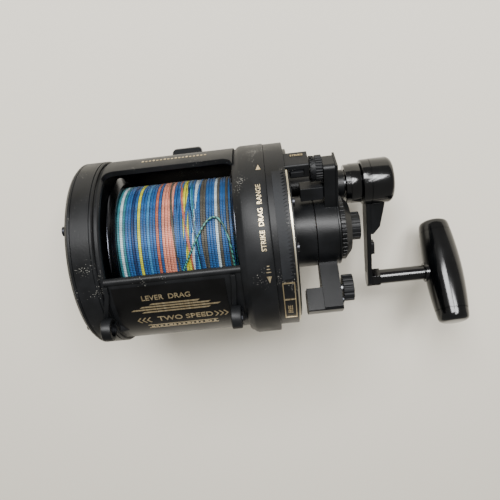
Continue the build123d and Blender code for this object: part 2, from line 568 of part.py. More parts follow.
grip_caps = [
    grip_place * Pos(body_end, 0, 0) * cap,
    grip_place * Rot(0, 0, 180) * Pos(body_end, 0, 0) * cap,
]
grip_collar = disc(150.0, 154.0, 6.6, KNOB_Y, KNOB_Z)
grip_bush = tube(151.3, 168.4, 6.0, 3.5 + RUNNING, KNOB_Y, KNOB_Z)
grip_body -= disc(140, 168.4, 6.0, KNOB_Y, KNOB_Z)
grip_collar = grip_collar - grip_body - disc(149, 151.3, KNOB_SHAFT_R + 0.2, KNOB_Y, KNOB_Z)
grip_collar -= disc(151.3, 155, 6.0, KNOB_Y, KNOB_Z)

parts = {
    "frame": frame,
    "foot": foot,
    "foot_screws": foot_screws,
    "harness_lug_eyelets": eyelets,
    "label_panel": label_panel,
    "left_side_cover": left_cover,
    "left_cover_screws": cover_screws,
    "left_shaft_bush": left_bush,
    "click_button": click_button,
    "click_pawl": click_pawl,
    "click_gear": click_gear,
    "spool": spool,
    "spool_bearings": spool_bearings,
    "wound_line": wound_line,
    "line_loop": line_loop,
    "drag_washer": drag_washer,
    "spool_shaft": spool_shaft,
    "spring_washers": spring_washers,
    "gear_plate": gear_plate,
    "shaft_bearings": [pinion_bearing, inner_handle_bearing, outer_handle_bearing],
    "pawl_pin": pawl_pin,
    "drag_plate": drag_plate,
    "pinion_sleeve": pinion_sleeve,
    "high_pinion": high_pinion,
    "low_pinion": low_pinion,
    "high_gear": high_gear,
    "low_gear": low_gear,
    "gear_spacer": gear_spacer,
    "ratchet_wheel": ratchet_wheel,
    "anti_reverse_pawl": anti_reverse_pawl,
    "gear_housing": housing,
    "lever_boss": lever_boss,
    "handle_tower": tower,
    "housing_screws": [*housing_screws, *plate_screws],
    "scale_strip": scale_strip,
    "scale_band": scale_band,
    "strike_block": strike_block,
    "strike_button": strike_button,
    "drag_lever": drag_lever,
    "lever_thumb_pad": thumb_pad,
    "lever_pointer_block": pointer_block,
    "drag_cam": drag_cam,
    "lever_side_plate": side_plate,
    "lever_thrust_washer": lever_thrust_washer,
    "selector_shaft": selector_shaft,
    "selector_knob": selector_knob,
    "lever_tail_screws": lever_stop_screw,
    "preset_knob": preset_knob,
    "preset_cap": preset_cap,
    "handle_shaft": handle_shaft,
    "handle_sleeve": handle_sleeve + collar,
    "handle_hub": handle_hub,
    "shift_button": shift_button,
    "handle_arm": handle_arm,
    "arm_fairing": arm_fairing,
    "gear_release_slide": release_slide,
    "knob_shaft": [knob_shaft, knob_nut],
    "grip": grip_body,
    "grip_caps": grip_caps,
    "grip_bush": [grip_bush, grip_collar],
}
for name, shape in parts.items():
    solids = shape if isinstance(shape, list) else [shape]
    export_step(Compound(children=[Part() + solid for solid in solids]), f"parts/{name}.step")
print(len(parts), "nodes")
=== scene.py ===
"""Looks of a two-speed lever-drag trolling reel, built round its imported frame."""
import math
import random

import bpy
from mathutils import Matrix, Vector


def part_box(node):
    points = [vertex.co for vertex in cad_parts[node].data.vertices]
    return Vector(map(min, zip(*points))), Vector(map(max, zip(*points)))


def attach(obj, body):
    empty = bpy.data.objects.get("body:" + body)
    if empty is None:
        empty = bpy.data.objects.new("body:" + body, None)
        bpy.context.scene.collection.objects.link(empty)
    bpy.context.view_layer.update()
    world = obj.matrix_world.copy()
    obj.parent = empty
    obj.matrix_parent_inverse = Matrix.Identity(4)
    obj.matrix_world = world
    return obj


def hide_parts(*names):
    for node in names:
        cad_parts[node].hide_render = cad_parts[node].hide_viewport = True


bl_info = {
    "name": "Trolling Reel",
    "version": (1, 0, 0),
    "blender": (4, 5, 0),
    "location": "3D View > Sidebar > Reel",
    "description": "Models and finishes a two-speed lever-drag trolling reel",
    "category": "Add Mesh",
}

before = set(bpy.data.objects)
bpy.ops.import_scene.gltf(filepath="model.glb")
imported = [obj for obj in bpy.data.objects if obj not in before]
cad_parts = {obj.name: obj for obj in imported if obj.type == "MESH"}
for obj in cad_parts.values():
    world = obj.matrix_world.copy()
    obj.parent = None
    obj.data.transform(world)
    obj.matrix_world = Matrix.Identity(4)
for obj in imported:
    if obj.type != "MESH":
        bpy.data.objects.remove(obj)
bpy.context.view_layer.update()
MM = 0.001
ROUND_STEPS = 144
WELD = 0.002 * MM
SHARP_ANGLE = math.radians(32)
STRAND_MAP = "along_strand"
FLOOR_COLOUR = "#dcd6c8"


def middle(node):
    """Middle of a CAD node in millimetres."""
    low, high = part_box(node)
    return (low + high) / 2 / MM


def reach(node):
    """Lowest and highest corner of a CAD node in millimetres."""
    low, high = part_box(node)
    return low / MM, high / MM


SPOOL = middle("wound_line")
CRANK = middle("handle_hub")
KNOB = middle("grip_bush")
LEFT_RING_WIDTH, RIGHT_RING_WIDTH, SHOULDER_WIDTH = 12.1, 17.7, 2.6
LEFT_OUT = reach("frame")[0].x
LEFT_IN = LEFT_OUT + LEFT_RING_WIDTH
WINDOW_LEFT = LEFT_IN + SHOULDER_WIDTH
RIGHT_OUT = reach("gear_housing")[0].x
RIGHT_IN = RIGHT_OUT - RIGHT_RING_WIDTH
# the right ring is turned on an axis of its own, a little behind and above the spool's
RIGHT_AXIS = Vector((0, -1.4, SPOOL.z + 0.5))
LEFT_R, RIGHT_R = 54.5, 56.0
# the bars start a little inside the rings, so that no gap shows at their ends
BAR_LOW, BAR_HIGH = WINDOW_LEFT - 0.6, RIGHT_IN + 0.6
BAR_INNER_R = 50.0
LINE_LOW, LINE_HIGH = (corner.x for corner in reach("wound_line"))
LINE_R = (reach("wound_line")[1].z - reach("wound_line")[0].z) / 2
LUG = middle("harness_lug_eyelets")
LUG_LENGTH = 5.4
LUG_ENDS = [corner.x for corner in reach("harness_lug_eyelets")]
LUG_SPANS = ((LUG_ENDS[0], LUG_ENDS[0] + LUG_LENGTH), (LUG_ENDS[1] - LUG_LENGTH, LUG_ENDS[1]))
# each rib's station at the bead and at its lug
RIBS = ((-36.9, -43.6), (30.0, 27.2))
# lowest and highest angle of each bar
LABEL_ANGLES = (-55.0, 2.0)
FRONT_ANGLES = (75.0, 104.0)
FOOT_ANGLES = (124.0, 208.0)
LABEL_R = 53.0
LABEL_FILM = 0.45
# strands from left to right, then those that cross them, by the letters of STRAND_COLOURS
STRAND_ORDER = "twtbbdbybblbbobssssbbbyybbwbggbbbwgbbgb"
CROSSING_ORDER = "btlbwbgbdo"


# ---------------------------------------------------------------- modelling


def around(station, radius, angle, axis=SPOOL):
    """Point at a station, radius and angle round an axis along X; 0 is up and positive is forward."""
    turn = math.radians(angle)
    return Vector((station, axis.y + radius * math.sin(turn), axis.z + radius * math.cos(turn)))


def trace(name, points):
    """A new piece in edit mode with vertices drawn one after another through the points."""
    bpy.ops.object.select_all(action="DESELECT")
    bpy.ops.mesh.primitive_plane_add(size=MM, location=(0, 0, 0))
    piece = bpy.context.active_object
    piece.name = piece.data.name = name
    bpy.ops.object.mode_set(mode="EDIT")
    bpy.ops.mesh.select_all(action="SELECT")
    bpy.ops.mesh.merge(type="CENTER")
    bpy.ops.transform.translate(value=Vector(points[0]) * MM)
    for before, here in zip(points, points[1:]):
        step = (Vector(here) - Vector(before)) * MM
        bpy.ops.mesh.extrude_vertices_move(TRANSFORM_OT_translate={"value": step})
    bpy.ops.mesh.select_all(action="SELECT")
    return piece


def tidy_faces():
    """Merges doubled vertices and turns every face outwards."""
    bpy.ops.mesh.select_all(action="SELECT")
    bpy.ops.mesh.remove_doubles(threshold=WELD)
    bpy.ops.mesh.normals_make_consistent(inside=False)


def apply_modifier(piece, kind, **settings):
    """Adds one modifier with its settings and makes it part of the mesh."""
    bpy.ops.object.select_all(action="DESELECT")
    bpy.context.view_layer.objects.active = piece
    piece.select_set(True)
    modifier = piece.modifiers.new(kind.title(), kind)
    for key, value in settings.items():
        setattr(modifier, key, value)
    bpy.ops.object.modifier_apply(modifier=modifier.name)


def finish_shape(piece, bevel=0.0, segments=2, smooth=35.0):
    """Leaves edit mode, rounds the sharp edges and smooths the rest."""
    if bpy.context.mode != "OBJECT":
        bpy.ops.object.mode_set(mode="OBJECT")
    if bevel:
        apply_modifier(
            piece,
            "BEVEL",
            width=bevel * MM,
            segments=segments,
            limit_method="ANGLE",
            angle_limit=SHARP_ANGLE,
        )
    bpy.ops.object.select_all(action="DESELECT")
    bpy.context.view_layer.objects.active = piece
    piece.select_set(True)
    bpy.ops.object.shade_smooth_by_angle(angle=math.radians(smooth))
    if bevel:
        apply_modifier(piece, "WEIGHTED_NORMAL", keep_sharp=True)
    return piece


def prism(name, outline, depth, bevel=0.3):
    """A flat outline filled and drawn out along depth."""
    piece = trace(name, outline)
    bpy.ops.mesh.edge_face_add()
    bpy.ops.mesh.extrude_region_move(TRANSFORM_OT_translate={"value": Vector(depth) * MM})
    tidy_faces()
    return finish_shape(piece, bevel)


def lathe(name, profile, axis=SPOOL, steps=ROUND_STEPS, bevel=0.0):
    """A (station, radius) profile spun all the way round an axis along X."""
    piece = trace(name, [around(station, radius, 0, axis) for station, radius in profile])
    centre = (0, axis.y * MM, axis.z * MM)
    bpy.ops.mesh.spin(steps=steps, angle=math.tau, center=centre, axis=(1, 0, 0))
    tidy_faces()
    return finish_shape(piece, bevel)


def closed(profile):
    """A profile that ends where it starts."""
    return [*profile, profile[0]]


def bent_bar(name, low_x, high_x, inner, outer, low, high, bevel=0.5, steps=18):
    """A bar along X whose section is part of a ring round the spool."""
    angles = [low + (high - low) * step / steps for step in range(steps + 1)]
    outline = [around(low_x, outer, angle) for angle in angles]
    outline += [around(low_x, inner, angle) for angle in reversed(angles)]
    return prism(name, outline, (high_x - low_x, 0, 0), bevel)


def rod(name, low_x, high_x, radius, axis, bevel=0.3, steps=48):
    """A plain round bar along X."""
    profile = [(low_x, 0), (low_x, radius), (high_x, radius), (high_x, 0)]
    return lathe(name, profile, axis, steps, bevel)


def wrap(piece, radius, axis=SPOOL):
    """Bends a flat piece drawn as (station, arc length, height) round an axis along X."""
    for vertex in piece.data.vertices:
        flat = vertex.co / MM
        bent = around(flat.x, radius + flat.z, math.degrees(flat.y / radius), axis)
        vertex.co = bent * MM
    return piece


def patch(name, outline, radius, thickness, axis=SPOOL, cut=2.5, bevel=0.0):
    """A (station, angle) outline cut into strips, given a thickness and bent round the axis."""
    flat = [(station, math.radians(angle) * radius, 0) for station, angle in outline]
    piece = trace(name, flat)
    bpy.ops.mesh.edge_face_add()
    low, high = min(p[1] for p in flat), max(p[1] for p in flat)
    for step in range(1, int((high - low) / cut) + 1):
        bpy.ops.mesh.select_all(action="SELECT")
        bpy.ops.mesh.bisect(plane_co=(0, (low + step * cut) * MM, 0), plane_no=(0, 1, 0))
    bpy.ops.mesh.select_all(action="SELECT")
    bpy.ops.mesh.extrude_region_move(TRANSFORM_OT_translate={"value": (0, 0, thickness * MM)})
    tidy_faces()
    bpy.ops.object.mode_set(mode="OBJECT")
    wrap(piece, radius, axis)
    bpy.ops.object.mode_set(mode="EDIT")
    tidy_faces()
    return finish_shape(piece, bevel)


def lettering(name, words, size, middle_at, radius, upright=False, axis=SPOOL, rise=0.12):
    """Raised letters bent round the axis; upright letters read along the spool's axis."""
    bpy.ops.object.select_all(action="DESELECT")
    bpy.ops.object.text_add(location=(0, 0, 0))
    piece = bpy.context.active_object
    piece.name = piece.data.name = name
    piece.data.body = words
    piece.data.size = size * MM
    piece.data.align_x = "CENTER"
    piece.data.align_y = "CENTER"
    piece.data.extrude = rise / 2 * MM
    piece.data.resolution_u = 3
    piece.data.offset = 0.012 * size * MM
    bpy.ops.object.convert(target="MESH")
    station, angle = middle_at
    turn = Matrix.Identity(4) if upright else Matrix.Rotation(math.pi / 2, 4, "Z")
    shift = Matrix.Translation(Vector((station, math.radians(angle) * radius, rise / 2)) * MM)
    piece.data.transform(shift @ turn)
    piece.matrix_world = Matrix.Identity(4)
    wrap(piece, radius, axis)
    return finish_shape(piece)


def joined(name, pieces):
    """Several shapes as one piece."""
    bpy.ops.object.select_all(action="DESELECT")
    for piece in pieces:
        piece.select_set(True)
    bpy.context.view_layer.objects.active = pieces[0]
    bpy.ops.object.join()
    pieces[0].name = pieces[0].data.name = name
    return pieces[0]


def refined(node, name, bevel=0.25, segments=2):
    """A copy of a CAD node with its doubles merged and its edges rounded."""
    bpy.ops.object.select_all(action="DESELECT")
    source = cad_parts[node]
    piece = bpy.data.objects.new(name, source.data.copy())
    bpy.context.scene.collection.objects.link(piece)
    piece.data.name = name
    bpy.context.view_layer.objects.active = piece
    piece.select_set(True)
    bpy.ops.object.mode_set(mode="EDIT")
    bpy.ops.mesh.select_all(action="SELECT")
    bpy.ops.mesh.remove_doubles(threshold=WELD)
    bpy.ops.mesh.dissolve_limited(angle_limit=math.radians(0.6))
    bpy.ops.mesh.select_all(action="SELECT")
    bpy.ops.mesh.normals_make_consistent(inside=False)
    return finish_shape(piece, bevel, segments)


def dress(piece, body, slot, material, *nodes):
    """Gives a piece its finish and the body that it moves with."""
    piece.data.materials.clear()
    piece.data.materials.append(material)
    place_on(piece, body, slot, *nodes)
    return piece


def place_on(piece, body, slot, *nodes):
    """Says which body a piece moves with and hides the CAD nodes that it stands for; the slot is not used."""
    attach(piece, body)
    if nodes:
        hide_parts(*nodes)


# ---------------------------------------------------------------- materials


def linear(hex_text):
    """An sRGB hex colour as linear red, green, blue and alpha."""
    values = [int(hex_text[index:index + 2], 16) / 255 for index in (1, 3, 5)]
    return (*[v / 12.92 if v <= 0.04045 else ((v + 0.055) / 1.055) ** 2.4 for v in values], 1.0)


def per_mm(size):
    """Pattern scale on Object coordinates that repeats every size millimetres."""
    return 1 / (size * MM)


def add(tree, kind, settings=None, links=None):
    """Adds a node with its settings and its links; "stops" are a colour ramp's."""
    node = tree.nodes.new(kind)
    for key, value in (settings or {}).items():
        if key == "stops":
            elements = node.color_ramp.elements
            while len(elements) < len(value):
                elements.new(1.0)
            for element, (spot, colour) in zip(elements, value):
                element.position = spot
                element.color = linear(colour)
        elif isinstance(key, int) or key in node.inputs:
            node.inputs[key].default_value = value
        else:
            setattr(node, key, value)
    for key, source in (links or {}).items():
        tree.links.new(source, node.inputs[key])
    return node


def blank(name, colour, roughness, **sockets):
    """A new material with its shader's constant values set."""
    material = bpy.data.materials.new(name)
    material.use_nodes = True
    tree = material.node_tree
    shader = tree.nodes["Principled BSDF"]
    shader.inputs["Base Color"].default_value = linear(colour)
    shader.inputs["Roughness"].default_value = roughness
    for key, value in sockets.items():
        shader.inputs[key.replace("_", " ")].default_value = value
    return material, tree, shader


# sizes in millimetres of the moulded surfaces' soft clouds, specks of dust and dusty areas
CLOUD, SPECK, DRIFT = 14, 0.55, 16


def moulded(name, dark, light, rough, grain, bump, dust=None, **sockets):
    """Moulded or coated surface: cloudy tone and gloss, a fine grain in relief, and loose dust."""
    material, tree, shader = blank(name, dark, rough[0], **sockets)
    place = add(tree, "ShaderNodeTexCoord").outputs["Object"]
    cloud = add(tree, "ShaderNodeTexNoise", {"Scale": per_mm(CLOUD), "Detail": 4.0}, {"Vector": place})
    tone = add(
        tree, "ShaderNodeValToRGB", {"stops": [(0.35, dark), (0.7, light)]}, {"Fac": cloud.outputs["Fac"]}
    )
    colour = tone.outputs["Color"]
    fine = add(tree, "ShaderNodeTexNoise", {"Scale": per_mm(grain), "Detail": 2.0}, {"Vector": place})
    if dust:
        dust_colour, share = dust
        spots = add(tree, "ShaderNodeTexNoise", {"Scale": per_mm(SPECK), "Detail": 0.0}, {"Vector": place})
        drift = add(tree, "ShaderNodeTexNoise", {"Scale": per_mm(DRIFT), "Detail": 1.0}, {"Vector": place})
        both = add(
            tree,
            "ShaderNodeMath",
            {"operation": "MULTIPLY"},
            {0: spots.outputs["Fac"], 1: drift.outputs["Fac"]},
        )
        mask = add(
            tree,
            "ShaderNodeMapRange",
            {"From Min": share, "From Max": share + 0.05, "To Max": 0.6},
            {"Value": both.outputs[0]},
        )
        mixed = add(
            tree,
            "ShaderNodeMix",
            {"data_type": "RGBA", 7: linear(dust_colour)},
            {0: mask.outputs["Result"], 6: colour},
        )
        colour = mixed.outputs[2]
    gloss = add(
        tree,
        "ShaderNodeMapRange",
        {"From Min": 0.3, "From Max": 0.7, "To Min": rough[0], "To Max": rough[1]},
        {"Value": cloud.outputs["Fac"]},
    )
    relief = add(
        tree,
        "ShaderNodeBump",
        {"Strength": bump, "Distance": 0.1 * MM},
        {"Height": fine.outputs["Fac"]},
    )
    tree.links.new(colour, shader.inputs["Base Color"])
    tree.links.new(gloss.outputs["Result"], shader.inputs["Roughness"])
    tree.links.new(relief.outputs["Normal"], shader.inputs["Normal"])
    return material


def turned_metal(name, dark, light, rough, lines=0.5):
    """Metal turned on a lathe: fine rings round X and small changes of tone."""
    material, tree, shader = blank(name, dark, rough, Metallic=1.0)
    place = add(tree, "ShaderNodeTexCoord").outputs["Object"]
    stretch = add(tree, "ShaderNodeMapping", {"Scale": (per_mm(lines), 40.0, 40.0)}, {"Vector": place})
    rings = add(tree, "ShaderNodeTexNoise", {"Scale": 1.0, "Detail": 3.0}, {"Vector": stretch.outputs[0]})
    tone = add(
        tree, "ShaderNodeValToRGB", {"stops": [(0.3, dark), (0.7, light)]}, {"Fac": rings.outputs["Fac"]}
    )
    gloss = add(
        tree,
        "ShaderNodeMapRange",
        {"To Min": rough * 0.8, "To Max": rough * 1.3},
        {"Value": rings.outputs["Fac"]},
    )
    relief = add(
        tree, "ShaderNodeBump", {"Strength": 0.12, "Distance": 0.05 * MM}, {"Height": rings.outputs["Fac"]}
    )
    tree.links.new(tone.outputs["Color"], shader.inputs["Base Color"])
    tree.links.new(gloss.outputs["Result"], shader.inputs["Roughness"])
    tree.links.new(relief.outputs["Normal"], shader.inputs["Normal"])
    return material


def braid(name, colour, shade):
    """Braided polyethylene line: crossing yarns as small diamonds, with painted shade in the hollows between
    them.
    """
    material, tree, shader = blank(name, colour, 0.5, Specular_IOR_Level=0.3)
    place = add(tree, "ShaderNodeUVMap", {"uv_map": STRAND_MAP}).outputs["UV"]
    turn = add(
        tree, "ShaderNodeMapping", {"Rotation": (0, 0, math.radians(45))}, {"Vector": place}
    )
    # the checker's second colour is painted shade for the hollows between the yarns
    yarns = add(
        tree,
        "ShaderNodeTexChecker",
        {"Scale": 1.4142, "Color1": linear(colour), "Color2": linear(shade)},
        {"Vector": turn.outputs[0]},
    )
    fade = add(tree, "ShaderNodeTexNoise", {"Scale": 0.09, "Detail": 3.0}, {"Vector": place})
    worn = add(
        tree, "ShaderNodeHueSaturation", {"Saturation": 0.95}, {"Color": yarns.outputs["Color"]}
    )
    value = add(
        tree,
        "ShaderNodeMapRange",
        {"From Min": 0.3, "From Max": 0.7, "To Min": 0.45, "To Max": 1.35},
        {"Value": fade.outputs["Fac"]},
    )
    tree.links.new(value.outputs["Result"], worn.inputs["Value"])
    relief = add(
        tree, "ShaderNodeBump", {"Strength": 0.7, "Distance": 0.2 * MM}, {"Height": yarns.outputs["Fac"]}
    )
    tree.links.new(worn.outputs["Color"], shader.inputs["Base Color"])
    tree.links.new(relief.outputs["Normal"], shader.inputs["Normal"])
    return material


def loop_braid(name, colour, shade):
    """The same braid seen close, its yarns as fine light and dark bands."""
    material, tree, shader = blank(name, colour, 0.5)
    place = add(tree, "ShaderNodeTexCoord").outputs["Object"]
    bands = add(
        tree,
        "ShaderNodeTexWave",
        {"Scale": per_mm(3.4), "Distortion": 2.0, "bands_direction": "DIAGONAL"},
        {"Vector": place},
    )
    tone = add(
        tree, "ShaderNodeValToRGB", {"stops": [(0.2, shade), (0.75, colour)]}, {"Fac": bands.outputs["Fac"]}
    )
    tree.links.new(tone.outputs["Color"], shader.inputs["Base Color"])
    return material


def woven_carbon(name):
    """Carbon cloth in resin: a 2 mm twill of dark and less dark squares."""
    material, tree, shader = blank(name, "#141518", 0.35)
    place = add(tree, "ShaderNodeTexCoord").outputs["Object"]
    weave = add(
        tree,
        "ShaderNodeTexChecker",
        {"Scale": per_mm(2.0), "Color1": linear("#101114"), "Color2": linear("#2c2e33")},
        {"Vector": place},
    )
    tree.links.new(weave.outputs["Color"], shader.inputs["Base Color"])
    return material


def make_materials():
    """Every finish on the reel, by the name that the operators use."""
    finish = {}
    dull = {"Specular_IOR_Level": 0.22}
    # glass-filled nylon, injection moulded: dull near-black with a fine pebble and caught dust
    finish["graphite"] = moulded(
        "Moulded graphite nylon", "#0b0c0d", "#141517", (0.36, 0.5), 0.9, 0.25, ("#9c9a93", 0.452), **dull
    )
    # screen-printed film: the flattest, deepest black, from which the gilt print stands out
    finish["panel"] = moulded(
        "Printed label film", "#040404", "#09090a", (0.26, 0.36), 1.2, 0.06, **dull
    )
    # enamel sprayed on castings: an even black with a soft sheen along the edges
    finish["painted"] = moulded(
        "Satin black enamel", "#08090a", "#101113", (0.28, 0.4), 1.0, 0.15, **dull
    )
    # ABS from a textured mould: buttons and knobs look drier than the paint beside them
    finish["moulded"] = moulded(
        "Textured ABS", "#0c0d0e", "#16171a", (0.42, 0.55), 0.8, 0.4, **dull
    )
    # stippled in the mould: greyer than the ring, so that its saw teeth show
    finish["band"] = moulded(
        "Stippled scale band", "#151618", "#1e2023", (0.5, 0.62), 0.8, 0.5, **dull
    )
    # phenolic turned and buffed: wet-looking black with long highlights on grip and hub
    finish["gloss"] = moulded(
        "Polished black phenolic", "#020203", "#040506", (0.12, 0.19), 3.0, 0.02,
        Specular_IOR_Level=0.45, Coat_Weight=0.15, Coat_Roughness=0.08,
    )
    # extruded and hard anodised: a fine, slightly metallic black on the foot
    finish["foot"] = moulded(
        "Hard-anodised black aluminium", "#0c0d0f", "#15171a", (0.34, 0.46), 0.9, 0.15, **dull
    )
    # steel, turned and blackened: dark screw heads that still glint
    finish["screw"] = turned_metal("Blackened steel", "#2a2b2e", "#4a4b50", 0.35)
    # steel, turned and ground: the bright inner works
    finish["steel"] = turned_metal("Stainless steel", "#8f9194", "#c4c6c9", 0.28)
    # aluminium, turned and anodised dark: a ringed sheen on the spool's rims
    finish["aluminium"] = turned_metal("Anodised aluminium", "#26272b", "#4a4c52", 0.22, 0.8)
    # bronze, pressed and sintered: warm, matt bushes
    finish["bronze"] = turned_metal("Sintered bronze", "#8a6534", "#b88c52", 0.4)
    # hot-stamped foil: words and rules that catch the light
    finish["gilt"] = turned_metal("Gilt print", "#b3a07c", "#dccdaa", 0.4)
    # the same foil, rubbed: the pale strip round the housing's edge
    finish["pale_gilt"] = turned_metal("Worn gilt strip", "#b7ab8c", "#efe9d6", 0.3)
    # cloth set in resin: a small dark check on the drag washer
    finish["carbon"] = woven_carbon("Woven carbon")
    # the loose line: light and dark flecks that stand out from the wound line
    finish["loop"] = loop_braid("Green braid", "#3a7d72", "#0c2b29")
    return finish


# letter: name, yarn colour and the painted shade of the hollows between yarns, fading a little along each
# strand
STRAND_COLOURS = {
    "b": ("Blue braid", "#1f66a8", "#0a2747"),
    "l": ("Light blue braid", "#3a8fc2", "#124a74"),
    "t": ("Teal braid", "#2f8088", "#0e424c"),
    "d": ("Navy braid", "#15376a", "#071731"),
    "g": ("Grey-brown braid", "#5e5a4e", "#1f1e1a"),
    "s": ("Salmon braid", "#eb9a7d", "#96503d"),
    "o": ("Orange braid", "#c96f50", "#6e3322"),
    "y": ("Yellow braid", "#e0e02c", "#8a880f"),
    "w": ("White braid", "#d7e3e7", "#6a8490"),
}


# ---------------------------------------------------------------- settings


class ReelSizes(bpy.types.PropertyGroup):
    """Sizes that a user may change."""

    strand: bpy.props.FloatProperty(
        name="Strand", description="Diameter of one wound strand, mm", default=1.54, min=0.8, max=2.0
    )
    wander: bpy.props.FloatProperty(
        name="Wander", description="How far the strands drift from true rings, mm", default=1.0, min=0, max=2
    )
    edge: bpy.props.FloatProperty(
        name="Edge", description="Rounding of the front bar's edges, mm", default=0.5, min=0.1, max=1.0
    )
    loop: bpy.props.FloatProperty(
        name="Loop", description="Diameter of the slack turn of line, mm", default=1.1, min=0.8, max=1.4
    )


class ReelLook(bpy.types.PropertyGroup):
    """Colours that a user may change."""

    floor: bpy.props.FloatVectorProperty(
        name="Floor",
        description="Colour of the table",
        subtype="COLOR",
        size=4,
        default=linear(FLOOR_COLOUR),
        min=0,
        max=1,
    )
    seed: bpy.props.IntProperty(name="Seed", description="Seed of the line's irregular lay", default=7)


# the materials by finish name, which main() makes before it runs the operators
FINISH = {}


# ---------------------------------------------------------------- operators


class REEL_OT_stage(bpy.types.Operator):
    """Makes the table, the soft studio light and the camera"""

    bl_idname = "reel.stage"
    bl_label = "Stage"

    def execute(self, context):
        bpy.ops.object.select_all(action="DESELECT")
        bpy.ops.mesh.primitive_plane_add(size=6.0, location=(0, 0, 0))
        floor = context.active_object
        floor.name = "table"
        material, tree, shader = blank("Matt laminate", FLOOR_COLOUR, 0.7)
        shader.inputs["Base Color"].default_value = context.scene.reel_look.floor
        place = add(tree, "ShaderNodeTexCoord").outputs["Object"]
        grain = add(tree, "ShaderNodeTexNoise", {"Scale": per_mm(40), "Detail": 5.0}, {"Vector": place})
        relief = add(
            tree,
            "ShaderNodeBump",
            {"Strength": 0.05, "Distance": 0.2 * MM},
            {"Height": grain.outputs["Fac"]},
        )
        tree.links.new(relief.outputs["Normal"], shader.inputs["Normal"])
        floor.data.materials.append(material)
        world = bpy.data.worlds.new("Room")
        context.scene.world = world
        world.use_nodes = True
        world.node_tree.nodes["Background"].inputs["Color"].default_value = linear("#ece9e2")
        world.node_tree.nodes["Background"].inputs["Strength"].default_value = 0.42
        # name, place, width, depth and power
        lamps = (
            ("window", (-0.15, 1.12, 1.2), 0.7, 0.7, 38.0),
            ("ceiling", (0.55, 0.9, 1.35), 0.6, 0.5, 18.0),
            ("tube_a", (0.30, 0.50, 0.95), 0.03, 0.5, 2.2),
            ("tube_b", (0.42, 0.42, 0.95), 0.03, 0.5, 2.2),
        )
        target = Vector((0.03, 0, 0.06))
        for name, spot, width, depth, power in lamps:
            bpy.ops.object.light_add(type="AREA", location=spot)
            lamp = context.active_object
            lamp.name = name
            lamp.data.shape = "RECTANGLE"
            lamp.data.size, lamp.data.size_y = width, depth
            lamp.data.energy = power
            aim = target - Vector(spot)
            lamp.rotation_euler = aim.to_track_quat("-Z", "Y").to_euler()
        eye = Vector((53.7, 108.2, 359.3)) * MM
        turn = [math.radians(angle) for angle in (-21.62, 0.46, -6.74)]
        bpy.ops.object.camera_add(location=eye, rotation=turn)
        camera = context.active_object
        camera.data.lens = 37.44
        camera.data.sensor_width = 36.0
        camera.data.clip_start = 0.01
        context.scene.camera = camera
        return {"FINISHED"}


